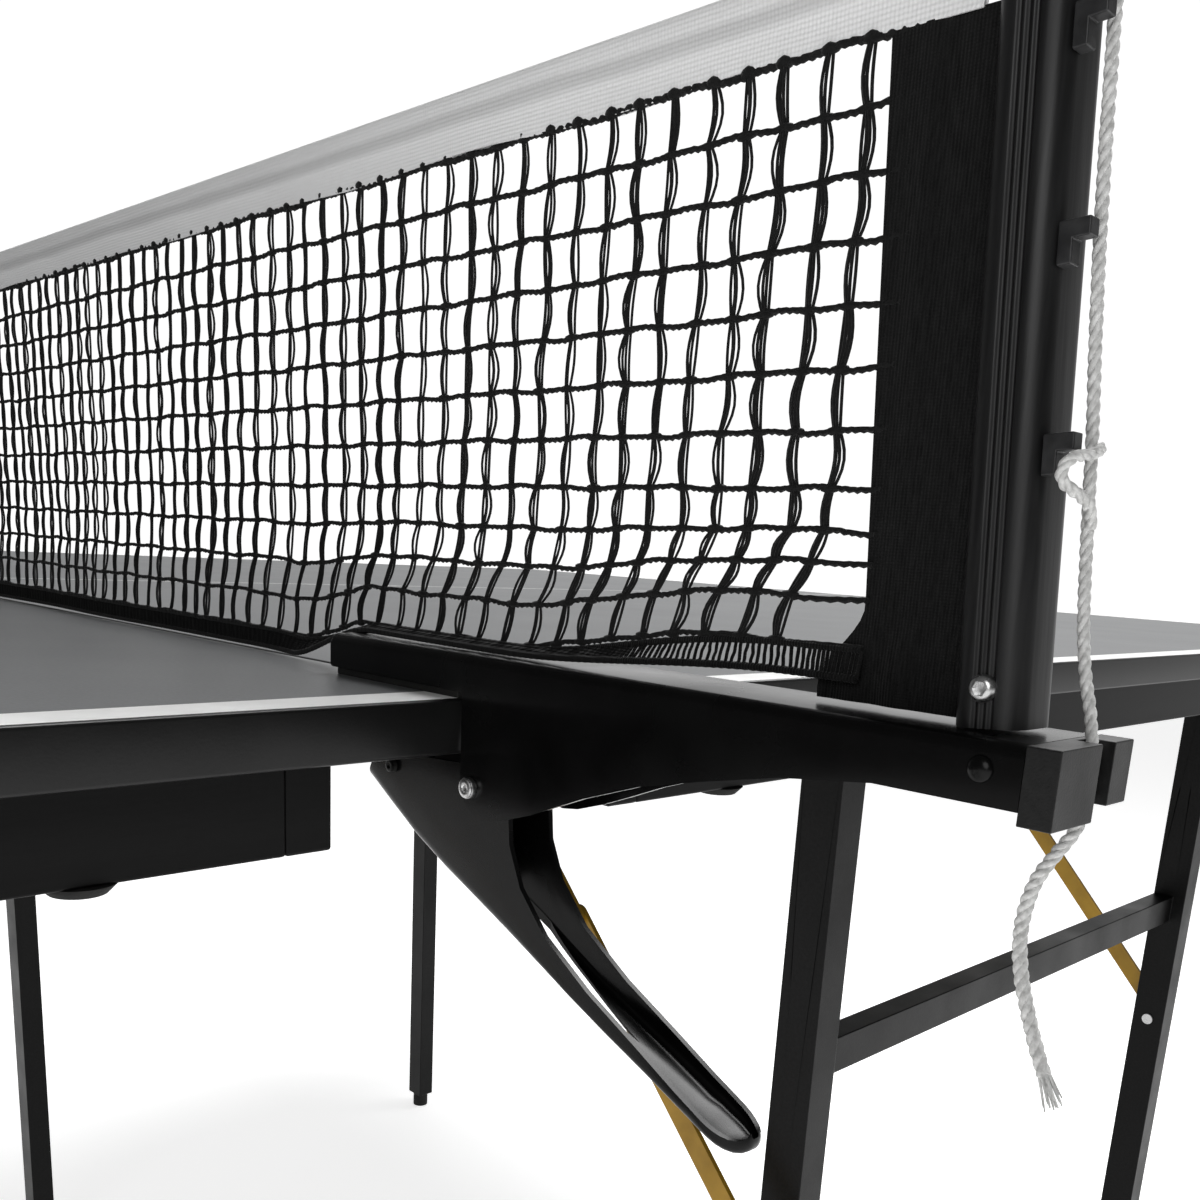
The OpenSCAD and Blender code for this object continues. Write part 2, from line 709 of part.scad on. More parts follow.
upper_links("right_far");  // upper_links_right_far
upper_links("left_near");  // upper_links_left_near
upper_links("left_far");  // upper_links_left_far
clamp_body();  // clamp_body_near
turned() clamp_body();  // clamp_body_far
clamp_lever();  // clamp_lever_near
turned() clamp_lever();  // clamp_lever_far
lower_shoe();  // lower_shoe_near
turned() lower_shoe();  // lower_shoe_far
clamp_pins();
clamp_springs();
upper_pads();
post();  // post_near
turned() post();  // post_far
post_caps();
post_screws();
cord_hooks();
cord_cleats();
net_mesh();
net_hem();
net_tape();
net_sleeves();
cord();  // net_cord_near
turned() cord();  // net_cord_far
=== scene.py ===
"""Looks of the mid-size table tennis table. Metres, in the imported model's frame:
X along the table, Y along the net with the near side at -Y, Z up, origin on the floor."""
import math
import random

import bmesh
import bpy
import numpy as np
from mathutils import Matrix, Vector

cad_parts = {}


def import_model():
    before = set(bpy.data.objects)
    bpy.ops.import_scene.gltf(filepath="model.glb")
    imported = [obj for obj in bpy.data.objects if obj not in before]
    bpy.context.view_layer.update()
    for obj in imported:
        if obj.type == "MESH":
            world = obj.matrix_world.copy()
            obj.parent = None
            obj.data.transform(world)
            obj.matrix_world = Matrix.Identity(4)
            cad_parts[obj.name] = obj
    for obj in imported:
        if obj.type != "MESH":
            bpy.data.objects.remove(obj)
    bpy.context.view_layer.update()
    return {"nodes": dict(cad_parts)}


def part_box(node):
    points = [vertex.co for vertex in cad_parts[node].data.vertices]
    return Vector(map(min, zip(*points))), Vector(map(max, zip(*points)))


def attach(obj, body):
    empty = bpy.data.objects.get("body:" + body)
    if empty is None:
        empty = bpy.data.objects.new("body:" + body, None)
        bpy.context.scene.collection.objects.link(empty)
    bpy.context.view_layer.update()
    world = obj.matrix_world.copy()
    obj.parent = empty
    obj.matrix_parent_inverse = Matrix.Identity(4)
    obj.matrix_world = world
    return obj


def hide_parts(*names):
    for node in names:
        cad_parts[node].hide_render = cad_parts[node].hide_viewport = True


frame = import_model()
MM = 0.001
HALF_TURN = Matrix.Rotation(math.pi, 4, "Z")
ENDS = {"near": Matrix.Identity(4), "far": HALF_TURN}


# ---- Camera ----

def add_camera():
    """The photographer's place: close to the near end of the net, just above the playing surface."""
    yaw, pitch, roll = (math.radians(a) for a in (44.685, -13.954, 3.2535))
    forward = Vector((math.cos(yaw) * math.cos(pitch), math.sin(yaw) * math.cos(pitch), math.sin(pitch)))
    level = Vector((math.sin(yaw), -math.cos(yaw), 0))
    upright = level.cross(forward)
    right = level * math.cos(roll) + upright * math.sin(roll)
    up = upright * math.cos(roll) - level * math.sin(roll)
    data = bpy.data.cameras.new("camera")
    data.sensor_width, data.lens = 36, 36.157
    data.shift_y = 0.2037
    data.clip_start, data.clip_end = 0.01, 60
    camera = bpy.data.objects.new("camera", data)
    camera.matrix_world = Matrix((right, up, -forward)).transposed().to_4x4()
    camera.location = (-0.21372, -0.82723, 0.80164)
    bpy.context.scene.collection.objects.link(camera)
    bpy.context.scene.camera = camera


add_camera()


# ---- Mesh building ----

class Build:
    """Collects vertices and faces of one piece."""

    def __init__(self):
        self.verts, self.faces, self.mats = [], [], []

    def add(self, verts, faces, mat=0):
        start = len(self.verts)
        self.verts += [tuple(v) for v in verts]
        self.faces += [tuple(start + i for i in f) for f in faces]
        self.mats += [mat] * len(faces)

    def rings(self, rings, closed=True, caps=True, mat=0):
        """Skins a list of equally long rings of points."""
        n = len(rings[0])
        verts = [p for ring in rings for p in ring]
        last = n if closed else n - 1
        faces = [(r * n + i, r * n + (i + 1) % n, (r + 1) * n + (i + 1) % n, (r + 1) * n + i)
                 for r in range(len(rings) - 1) for i in range(last)]
        if caps:
            faces += [tuple(reversed(range(n))), tuple((len(rings) - 1) * n + i for i in range(n))]
        self.add(verts, faces, mat)

    def tube(self, path, radius, sides=6, mat=0, start=0.0):
        """A round tube along a path. radius is one number or one for each point of the path."""
        path = np.asarray(path, float)
        radii = np.full(len(path), radius) if np.isscalar(radius) else np.asarray(radius)
        tangents = np.gradient(path, axis=0)
        tangents /= np.linalg.norm(tangents, axis=1)[:, None]
        side = np.cross(tangents[0], (1, 0, 0) if abs(tangents[0][0]) < 0.8 else (0, 1, 0))
        rings = []
        for p, t, r in zip(path, tangents, radii):
            side = side - t * (side @ t)
            side /= np.linalg.norm(side)
            up = np.cross(t, side)
            turn = [start + 2 * math.pi * k / sides for k in range(sides)]
            rings.append([p + r * (math.cos(a) * side + math.sin(a) * up) for a in turn])
        self.rings(rings, mat=mat)

    def revolve(self, centre, axis, profile, sides=24, mat=0):
        """A turned shape about an axis through centre. profile is (distance along the axis, radius)."""
        axis = np.asarray(axis, float) / np.linalg.norm(axis)
        u = np.cross(axis, (0, 0, 1) if abs(axis[2]) < 0.8 else (1, 0, 0))
        u /= np.linalg.norm(u)
        v = np.cross(axis, u)
        turn = [2 * math.pi * k / sides for k in range(sides)]
        self.rings([[np.asarray(centre) + axis * a + r * (math.cos(t) * u + math.sin(t) * v) for t in turn]
                    for a, r in profile], mat=mat)

    def piece(self, name, materials, body, slot, replaces=(), turn=None, smooth=35):
        """Makes the object, puts it on its body and hides the CAD nodes it stands for. slot is not used."""
        mesh = bpy.data.meshes.new(name)
        mesh.from_pydata(self.verts, [], self.faces)
        if turn is not None:
            mesh.transform(turn)
        mesh.polygons.foreach_set("material_index", self.mats)
        for m in materials:
            mesh.materials.append(m)
        bm = bmesh.new()
        bm.from_mesh(mesh)
        bmesh.ops.recalc_face_normals(bm, faces=bm.faces)
        for e in bm.edges:
            e.smooth = len(e.link_faces) == 2 and e.calc_face_angle(0) < math.radians(smooth)
        for f in bm.faces:
            f.smooth = True
        bm.to_mesh(mesh)
        bm.free()
        obj = bpy.data.objects.new(name, mesh)
        bpy.context.scene.collection.objects.link(obj)
        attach(obj, body)
        if replaces:
            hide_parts(*replaces)
        return obj


def ease(t):
    t = min(1.0, max(0.0, t))
    return t * t * (3 - 2 * t)


def arc(centre, radius, start, end, steps):
    """Points of a circle's arc in two dimensions, in degrees."""
    return [(centre[0] + radius * math.cos(math.radians(start + (end - start) * k / steps)),
             centre[1] + radius * math.sin(math.radians(start + (end - start) * k / steps)))
            for k in range(steps + 1)]


def smooth_path(points, count):
    """A Catmull-Rom curve through the points, with count points evenly spaced along it."""
    p = np.asarray(points, float)
    p = np.vstack([2 * p[0] - p[1], p, 2 * p[-1] - p[-2]])
    fine = []
    for i in range(1, len(p) - 2):
        for t in np.linspace(0, 1, 12, endpoint=False):
            a, b, c, d = p[i - 1], p[i], p[i + 1], p[i + 2]
            fine.append(0.5 * (2 * b + (c - a) * t + (2 * a - 5 * b + 4 * c - d) * t * t
                               + (3 * b - a - 3 * c + d) * t ** 3))
    fine.append(p[-2])
    fine = np.array(fine)
    along = np.concatenate([[0], np.cumsum(np.linalg.norm(np.diff(fine, axis=0), axis=1))])
    at = np.linspace(0, along[-1], count)
    return np.stack([np.interp(at, along, fine[:, k]) for k in range(3)], axis=1)


# ---- Materials ----

class Paint:
    """A principled material with helpers for procedural detail."""

    def __init__(self, name, color, roughness, metallic=0.0, specular=0.5, **sockets):
        """color is (red, green, blue), or one number for a grey."""
        self.mat = bpy.data.materials.new(name)
        self.mat.use_nodes = True
        self.tree = self.mat.node_tree
        self.bsdf = self.tree.nodes["Principled BSDF"]
        self.set("Base Color", self.rgba(color))
        self.set("Roughness", roughness)
        self.set("Metallic", metallic)
        self.set("Specular IOR Level", specular)
        for key, value in sockets.items():
            self.set(key.replace("_", " "), value)

    @staticmethod
    def rgba(color):
        return (*color, 1) if hasattr(color, "__len__") else (color, color, color, 1)

    def set(self, socket, value):
        self.bsdf.inputs[socket].default_value = value

    def node(self, kind, **inputs):
        made = self.tree.nodes.new(kind)
        for key, value in inputs.items():
            made.inputs[key].default_value = value
        return made

    def link(self, a, b):
        self.tree.links.new(a, b)

    def noise(self, scale, detail=4.0, stretch=(1, 1, 1)):
        """A noise in the object's own coordinates; stretch thins it along an axis."""
        place = self.node("ShaderNodeTexCoord")
        mapping = self.node("ShaderNodeMapping")
        mapping.inputs["Scale"].default_value = stretch
        tex = self.node("ShaderNodeTexNoise", Scale=scale, Detail=detail)
        self.link(place.outputs["Object"], mapping.inputs["Vector"])
        self.link(mapping.outputs["Vector"], tex.inputs["Vector"])
        return tex.outputs["Fac"]

    def wave(self, scale, direction, distortion=0.0):
        place = self.node("ShaderNodeTexCoord")
        tex = self.node("ShaderNodeTexWave", Scale=scale, Distortion=distortion)
        tex.bands_direction = direction
        self.link(place.outputs["Object"], tex.inputs["Vector"])
        return tex.outputs["Fac"]

    def vary(self, factor, dark, light, low=0.3, high=0.7, socket="Base Color"):
        """Runs a socket from dark to light as the factor goes from low to high."""
        ramp = self.node("ShaderNodeValToRGB")
        first, last = ramp.color_ramp.elements
        first.position, first.color = low, self.rgba(dark)
        last.position, last.color = high, self.rgba(light)
        self.link(factor, ramp.inputs["Fac"])
        self.link(ramp.outputs["Color"], self.bsdf.inputs[socket])
        return self

    def across(self, low, high, stops):
        """Colours by height between low and high, with a little noise so that the bands wander."""
        place = self.node("ShaderNodeTexCoord")
        split = self.node("ShaderNodeSeparateXYZ")
        span = self.node("ShaderNodeMapRange")
        span.inputs["From Min"].default_value, span.inputs["From Max"].default_value = low, high
        mix = self.node("ShaderNodeMath")
        mix.operation = "MULTIPLY_ADD"
        mix.inputs[1].default_value = 0.16
        ramp = self.node("ShaderNodeValToRGB")
        elements = ramp.color_ramp.elements
        while len(elements) < len(stops):
            elements.new(0.5)
        for element, (position, grey) in zip(elements, stops):
            element.position, element.color = position, (grey, grey, grey, 1)
        self.link(place.outputs["Object"], split.inputs["Vector"])
        self.link(split.outputs["Z"], span.inputs["Value"])
        self.link(self.noise(110, 6, (1, 0.12, 1)), mix.inputs[0])
        self.link(span.outputs["Result"], mix.inputs[2])
        self.link(mix.outputs["Value"], ramp.inputs["Fac"])
        self.link(ramp.outputs["Color"], self.bsdf.inputs["Base Color"])

    def bump(self, factor, distance, strength=0.6):
        bump = self.node("ShaderNodeBump", Strength=strength, Distance=distance)
        self.link(factor, bump.inputs["Height"])
        last = self.bsdf.inputs["Normal"].links
        if last:
            self.link(last[0].from_socket, bump.inputs["Normal"])
        self.link(bump.outputs["Normal"], self.bsdf.inputs["Normal"])
        return self


def make_materials():
    m = {}
    p = Paint("board_paint", (0.105, 0.108, 0.112), 0.42, specular=0.45)
    p.vary(p.noise(900, 3), (0.1, 0.103, 0.106), (0.128, 0.131, 0.135))
    p.vary(p.noise(14, 5), 0.41, 0.45, socket="Roughness")
    p.bump(p.noise(700, 3), 0.00008, 0.5)
    m["board_paint"] = p.mat
    p = Paint("line_paint", (0.82, 0.82, 0.81), 0.45)
    p.vary(p.noise(60, 6), (0.74, 0.74, 0.73), (0.86, 0.86, 0.85))
    p.bump(p.noise(900, 3), 0.00006, 0.5)
    m["line_paint"] = p.mat
    p = Paint("board_edge", 0.006, 0.36, specular=0.28)
    p.vary(p.noise(40, 5), 0.004, 0.009)
    p.bump(p.noise(1200, 2), 0.00006, 0.5)
    m["board_edge"] = p.mat
    p = Paint("board_under", 0.03, 0.7, specular=0.2)
    p.vary(p.noise(220, 6), 0.018, (0.04, 0.04, 0.038))
    p.bump(p.noise(500, 5), 0.0002, 0.6)
    m["board_under"] = p.mat
    p = Paint("apron_laminate", 0.006, 0.42, specular=0.09)
    p.vary(p.noise(60, 6, (0.05, 1, 1)), 0.0035, 0.0085)
    p.bump(p.noise(900, 3, (0.1, 1, 1)), 0.00006, 0.5)
    m["apron_laminate"] = p.mat
    p = Paint("powder_black", 0.005, 0.36, specular=0.13)
    p.vary(p.noise(500, 4), 0.0035, 0.0065)
    p.vary(p.noise(25, 5), 0.3, 0.44, socket="Roughness")
    p.bump(p.noise(1100, 3), 0.0001, 0.5)
    m["powder_black"] = p.mat
    p = Paint("yellow_zinc", (0.3, 0.17, 0.012), 0.42, metallic=0.2)
    p.vary(p.noise(45, 6), (0.3, 0.165, 0.008), (0.44, 0.25, 0.016))
    p.vary(p.noise(150, 4, (1, 1, 0.2)), 0.34, 0.5, socket="Roughness")
    p.bump(p.noise(900, 3), 0.00005, 0.4)
    m["yellow_zinc"] = p.mat
    p = Paint("bright_zinc", 0.62, 0.28, metallic=1.0)
    p.vary(p.noise(700, 4), 0.52, 0.64)
    p.vary(p.noise(900, 4), 0.24, 0.36, socket="Roughness")
    m["bright_zinc"] = p.mat
    p = Paint("clamp_enamel", 0.002, 0.24, specular=0.14, Coat_Weight=0.05, Coat_Roughness=0.12)
    p.vary(p.noise(60, 5), 0.0015, 0.003)
    p.vary(p.noise(30, 5), 0.2, 0.3, socket="Roughness")
    p.bump(p.noise(300, 2), 0.00003, 0.2)
    m["clamp_enamel"] = p.mat
    p = Paint("black_rubber", 0.007, 0.75, specular=0.25)
    p.vary(p.noise(120, 5), 0.005, (0.011, 0.011, 0.01))
    p.bump(p.noise(1500, 4), 0.0002, 0.6)
    m["black_rubber"] = p.mat
    p = Paint("black_plastic", 0.005, 0.45, specular=0.3)
    p.vary(p.noise(600, 4), 0.0035, 0.0075)
    p.vary(p.noise(60, 5), 0.38, 0.55, socket="Roughness")
    p.bump(p.noise(1800, 3), 0.0001, 0.5)
    m["black_plastic"] = p.mat
    p = Paint("hook_plastic", (0.02, 0.02, 0.021), 0.4, specular=0.4)
    p.vary(p.noise(300, 4), (0.012, 0.012, 0.0125), (0.03, 0.03, 0.031))
    p.bump(p.noise(1500, 3), 0.0001, 0.4)
    m["hook_plastic"] = p.mat
    p = Paint("post_anodised", (0.012, 0.012, 0.0122), 0.38, metallic=0.3, specular=0.4)
    p.vary(p.noise(700, 4, (1, 1, 0.02)), (0.008, 0.008, 0.0082), (0.018, 0.018, 0.0185))
    p.vary(p.noise(400, 4, (1, 1, 0.03)), 0.32, 0.46, socket="Roughness")
    p.bump(p.noise(900, 3, (1, 1, 0.04)), 0.00006, 0.5)
    m["post_anodised"] = p.mat
    p = Paint("net_yarn", 0.004, 0.75, specular=0.2, Sheen_Weight=0.08)
    p.vary(p.noise(1500, 4), 0.002, 0.009)
    p.bump(p.noise(4000, 3), 0.0002, 0.8)
    m["net_yarn"] = p.mat
    p = Paint("black_weave", 0.004, 0.85, specular=0.15, Sheen_Weight=0.05)
    p.vary(p.noise(1400, 4, (1, 1, 0.15)), 0.002, 0.009)
    p.bump(p.wave(420, "Y"), 0.0003, 0.6)
    p.bump(p.wave(520, "Z", 1.0), 0.0002, 0.5)
    m["black_weave"] = p.mat
    p = Paint("tape_cloth", 0.66, 0.75, specular=0.2, Sheen_Weight=0.1)
    # Greys by height, with painted shade along the tape's lower edge
    p.across(TAPE_LO.z, TAPE_HI.z, TAPE_GREYS_AND_SHADE)
    p.bump(p.wave(330, "Y", 0.6), 0.00015, 0.5)
    p.bump(p.wave(330, "Z", 0.6), 0.00015, 0.5)
    m["tape_cloth"] = p.mat
    p = Paint("white_cord", (0.7, 0.7, 0.69), 0.8, specular=0.2, Sheen_Weight=0.2)
    p.vary(p.noise(700, 5), (0.45, 0.45, 0.44), (0.78, 0.78, 0.77))
    p.bump(p.noise(2500, 4), 0.0003, 0.7)
    m["white_cord"] = p.mat
    p = Paint("floor", 0.9, 0.7, specular=0.1)
    p.vary(p.noise(3, 3), 0.89, 0.91)
    p.set("Emission Color", (1, 1, 1, 1))
    p.set("Emission Strength", 0.74)
    m["floor"] = p.mat
    return m


TAPE_LO, TAPE_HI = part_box("net_tape")
# Greys of the tape from its lower edge (0) to its top (1): painted shade darkens the lower edge, and a darker
# streak runs along the upper middle
TAPE_GREYS_AND_SHADE = [(0.0, 0.68), (0.07, 0.86), (0.5, 0.92), (0.62, 0.68), (0.72, 0.64), (0.82, 0.84), (1.0, 0.8)]
MAT = make_materials()


# ---- Cords ----

CORD_ROUTE = [
    (0, -696, 908.5), (0, -701, 912.9), (0, -706, 916), (0, -712, 917.4), (0, -716.5, 917),
    (0, -719.6, 915.2), (0, -721.2, 911), (0, -722.4, 905), (0, -722.9, 898), (0, -723.3, 890),
    (0, -724, 881), (0.2, -724.6, 872), (0.5, -725.3, 863), (0.8, -726, 854), (1.2, -726.8, 845),
    (1.8, -727.6, 836), (2.5, -728.4, 827), (3.2, -729, 818), (3.9, -729.6, 809), (4.5, -730.3, 800),
    (5, -731.2, 791), (5.2, -732.8, 783), (5, -734.9, 776), (4.5, -736.4, 769), (4.1, -736.8, 762),
    (4, -735.9, 755.5), (3.6, -733, 750), (3.3, -730.2, 744.5), (3, -728.8, 738), (3, -728.7, 731.5),
    (2.9, -730, 725), (2.6, -732.2, 719), (2.3, -734.8, 713), (2, -737.6, 707.5), (1.8, -740.6, 702),
]
# Half hitch of the cord round the lowest hook
HITCH = [
    (3.2, -730.2, 822.8), (0, -731, 821.8), (-3.8, -730.8, 821), (-7.2, -730.4, 820.4), (-8.2, -729.4, 819),
    (-7.6, -728.8, 817.4), (-6.4, -729.2, 816), (-4.8, -730.2, 815), (-2.6, -730.9, 814), (0.4, -731, 812.4),
    (3.5, -730.4, 809.5),
]
HITCH_R = 1.05 * MM
# Thickness of the cord as drawn: thin where it is taut, full where it hangs loose below the cleat
TAUT_R, LOOSE_R = 1.15 * MM, 1.48 * MM
# The cord's end has come undone: length of the loose fibres, and how many points of the path they take up
FRAY = 6 * MM
FRAY_POINTS = 10


def frames_along(path):
    """Tangent, side and up vectors along a path, with no twist."""
    tangents = np.gradient(path, axis=0)
    tangents /= np.linalg.norm(tangents, axis=1)[:, None]
    side, out = np.array((1.0, 0, 0)), []
    for t in tangents:
        side = side - t * (side @ t)
        side /= np.linalg.norm(side)
        out.append((t, side, np.cross(t, side)))
    return out


def twisted(build, path, radius, strands=3, pitch=7 * MM, sides=8):
    """Lays strands round each other along a path, as a twisted cord is made."""
    path = np.asarray(path)
    step = np.linalg.norm(np.diff(path, axis=0), axis=1)
    along = np.concatenate([[0], np.cumsum(step)])
    axes = frames_along(path)
    radius = np.asarray(radius)
    strand = radius * 0.56
    for k in range(strands):
        angle = 2 * math.pi * (along / pitch + k / strands)
        line = [p + (r - w) * 1.1 * (math.cos(a) * s + math.sin(a) * u)
                for p, r, w, a, (t, s, u) in zip(path, radius, strand, angle, axes)]
        build.tube(line, strand, sides)


def frayed(b, tip, axes):
    """Fibres at the cord's end that spread a little and end unevenly."""
    t, s, u = axes
    fibres, hidden = 26, 5 * MM
    local = random.Random(3)
    for k in range(fibres):
        a = 2 * math.pi * k / fibres + local.uniform(-0.1, 0.1)
        out = (math.cos(a) * s + math.sin(a) * u) * local.uniform(0.25, 1.0)
        reach = FRAY * local.uniform(0.6, 1.15)
        line = [tip + t * (d * reach - (1 - d) * hidden) + out * (0.6 + 1.5 * d ** 1.4) * MM
                for d in np.linspace(0, 1, 7)]
        b.tube(line, np.linspace(0.42, 0.16, 7) * MM, 5)


def net_cord(end, turn):
    """Tension cord: from the tape over the post, down its outer side and through the cleat."""
    path = smooth_path(np.array(CORD_ROUTE) * MM, 420)
    whole = path[:-FRAY_POINTS]
    b = Build()
    twisted(b, whole, [TAUT_R + (LOOSE_R - TAUT_R) * ease((0.765 - p[2]) / 0.03) for p in whole])
    frayed(b, whole[-1], frames_along(path)[len(whole) - 1])
    cord = b.piece(f"cord_{end}", [MAT["white_cord"]], "table", "cord_white", [f"net_cord_{end}"], turn,
                   smooth=60)
    hitch = Build()
    loop = smooth_path(np.array(HITCH) * MM, 60)
    twisted(hitch, loop, [HITCH_R] * len(loop))
    knot = hitch.piece(f"hitch_{end}", [MAT["white_cord"]], "table", "cord_white", (), turn, smooth=60)


for end, turn in ENDS.items():
    net_cord(end, turn)


# ---- Boards ----

LINE = 16 * MM
CENTRE_LINE = 3 * MM
EDGE_R = 1.2 * MM
CORNER_R = 6 * MM


def board(name):
    """Half board: rounded edges, white lines along three sides and down the middle."""
    lo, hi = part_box(name)
    out = 1 if hi.x > -lo.x else -1
    far_x, seam_x = (hi.x, lo.x) if out > 0 else (lo.x, hi.x)
    r = CORNER_R
    outline = [(seam_x, -hi.y)]
    for sy in (-1, 1):
        start = (-90, 0) if sy < 0 else (0, 90)
        corner = arc((0, 0), r, *start, 8)
        outline += [(far_x - out * (r - x), sy * (hi.y - r) + y) for x, y in corner]
    outline.append((seam_x, hi.y))
    bm = bmesh.new()
    base = [bm.verts.new((x, y, lo.z)) for x, y in outline]
    face = bm.faces.new(base)
    top = bmesh.ops.extrude_face_region(bm, geom=[face])
    bmesh.ops.translate(bm, verts=[v for v in top["geom"] if isinstance(v, bmesh.types.BMVert)],
                        vec=(0, 0, hi.z - lo.z))
    rims = [e for e in bm.edges if abs(e.verts[0].co.z - e.verts[1].co.z) < 1e-6]
    bmesh.ops.bevel(bm, geom=rims, offset=EDGE_R, segments=3, profile=0.5, affect="EDGES")
    cuts = [((0, s * (hi.y - LINE), 0), (0, 1, 0)) for s in (-1, 1)]
    cuts += [((0, s * CENTRE_LINE / 2, 0), (0, 1, 0)) for s in (-1, 1)]
    cuts.append(((far_x - out * LINE, 0, 0), (1, 0, 0)))
    for place, normal in cuts:
        whole = bm.verts[:] + bm.edges[:] + bm.faces[:]
        bmesh.ops.bisect_plane(bm, geom=whole, plane_co=place, plane_no=normal)
    bmesh.ops.recalc_face_normals(bm, faces=bm.faces)
    for f in bm.faces:
        c = f.calc_center_median()
        lined = (abs(c.y) > hi.y - LINE or abs(c.y) < CENTRE_LINE / 2 or abs(c.x) > abs(far_x) - LINE)
        if f.normal.z > 0.99:
            f.material_index = 1 if lined else 0
        else:
            f.material_index = 3 if f.normal.z < -0.99 else 2
        f.smooth = True
    for e in bm.edges:
        e.smooth = len(e.link_faces) == 2 and e.calc_face_angle(0) < math.radians(35)
    mesh = bpy.data.meshes.new(name + "_board")
    bm.to_mesh(mesh)
    bm.free()
    for key in ("board_paint", "line_paint", "board_edge", "board_under"):
        mesh.materials.append(MAT[key])
    obj = bpy.data.objects.new(name + "_board", mesh)
    bpy.context.scene.collection.objects.link(obj)
    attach(obj, "table")
    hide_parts(name)


board("top_right")
board("top_left")


# ---- Net ----

ROWS = 11
COLUMN = 10.1 * MM
YARN_R = 0.43 * MM
# Where a column's four yarns sit side by side, and the steps of a yarn from one cord to the next
YARN_SEATS = (-1.0, -0.25, 0.3, 1.0)
YARN_STEPS = 6
MESH_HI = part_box("net_mesh")[1]
HEM_LO, HEM_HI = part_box("net_hem")
HEM_H = 7 * MM
NET_TOP = TAPE_LO.z
MID_LOW = HEM_LO.z
CLAMP_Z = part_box("clamp_body_near")[1].z
# The net's lower edge changes between these distances from the middle: (start, length) of each change
TURNS_OVER = (0.44, 0.07)
RISES = (0.47, 0.05)
HANGS_FREE = (0.585, 0.09)
BAND_TILT, FREE_TILT = math.radians(78), math.radians(8)


def foot_line(y):
    """The netting's lower edge and the tilt of the band below it, at y on the near half (y below 0).
    The band stands on the table in the middle, lies over the jaw, and hangs free beside the sleeve."""
    over, rise, free = (ease((abs(y) - start) / length) for start, length in (TURNS_OVER, RISES, HANGS_FREE))
    tilt = BAND_TILT * over * (1 - free) + FREE_TILT * free
    bottom = MID_LOW + (CLAMP_Z + 0.9 * MM - MID_LOW) * rise + 4.2 * MM * free
    return Vector((-1.0 * MM * over, y, bottom + HEM_H * math.cos(tilt))), tilt


def mirrored(y):
    """1 on the near half, -1 on the far half, which is the near one turned half round."""
    return 1 if y <= 0 else -1


def sag_x(y, t):
    """How far the net stands out of its plane: gentle waves that grow towards the loose hem."""
    wave = math.sin(y * 23 + 0.6) * 0.6 + math.sin(y * 51 + 2.0 * t) * 0.4
    near_end = ease((abs(y) - 0.5) / 0.18)
    return (1.5 * wave * (0.2 + 0.8 * t) * (1 - 0.6 * near_end)) * MM


def net_point(y, row):
    """Where row line number row (0 at the tape, ROWS at the hem) crosses at y."""
    t = row / ROWS
    foot, _ = foot_line(y)
    even_low = MID_LOW + HEM_H
    even = NET_TOP - (NET_TOP - even_low) * t
    squeeze = ease((t - 0.6) / 0.4)
    z = even + (foot.z - even_low) * squeeze
    lean = 9.5 * MM * ease((t - 0.74) / 0.26) * mirrored(y) * (0.55 + 0.45 * ease((abs(y) - 0.35) / 0.2))
    lean *= ease((MESH_HI.y - abs(y)) / 0.012)
    return Vector((sag_x(y, t) + foot.x * squeeze * mirrored(y), y + lean, z))


def row_cord(b, row):
    """One cord along the net, slightly uneven in height and thickness."""
    drift = random.Random(100 + row)
    phase = [drift.uniform(0, 6.28) for _ in range(3)]
    thicker = 1.15 if row == 0 else 1.0
    line, radius = [], []
    for i, y in enumerate(np.linspace(-MESH_HI.y, MESH_HI.y, int(2 * MESH_HI.y / (0.95 * MM)))):
        p = net_point(y, row)
        wobble = 0.3 * math.sin(y * 140 + phase[0]) + 0.2 * math.sin(y * 330 + phase[1])
        p.z += (wobble + (0.1 if i % 2 else -0.1) + drift.uniform(-0.07, 0.07)) * MM
        p.x += 0.2 * math.sin(i * 2.1 + phase[2]) * MM
        line.append(tuple(p))
        radius.append((0.6 if i % 2 else 0.74) * MM * thicker)
    b.tube(line, radius, 5)


def column_yarns(b, y0, local):
    """One column: a knot on each cord, and four loose yarns between them."""
    wander = [local.uniform(-0.7, 0.7) * MM for _ in range(ROWS + 2)]
    bend = [local.choice((-1, 1)) * local.uniform(0.3, 1.1) for _ in range(ROWS)]
    gapes = [[local.uniform(0.05, 1.0) for _ in range(ROWS)] for _ in YARN_SEATS]
    for row in range(ROWS + 1):
        k = net_point(y0 + wander[row], row)
        big, rise = (1.25, 0.5 * MM) if row == 0 else (0.95, 0.0)
        b.tube([(k.x, k.y + d * MM, k.z + rise * (1 - abs(d) / 2)) for d in (-2.0, -1.0, 0, 1.0, 2.0)],
               [0.55 * MM, 0.85 * big * MM, big * MM, 0.85 * big * MM, 0.55 * MM], 6)
    for seat, gape in zip(YARN_SEATS, gapes):
        line = []
        depth = local.uniform(-0.5, 0.5)
        for row in range(ROWS):
            above, below = net_point(y0 + wander[row], row), net_point(y0 + wander[row + 1], row + 1)
            for k in range(YARN_STEPS):
                t = k / YARN_STEPS
                p = above.lerp(below, t)
                swell = math.sin(math.pi * t)
                p.y += (seat * (0.7 + 0.85 * gape[row] * swell) + bend[row] * swell) * MM
                p.x += (depth * swell + 0.35 * (seat * seat - 0.4)) * MM
                line.append(tuple(p))
        last = net_point(y0 + wander[ROWS], ROWS)
        last.y += seat * 0.7 * MM
        line.append(tuple(last))
        b.tube(line, YARN_R, 4)


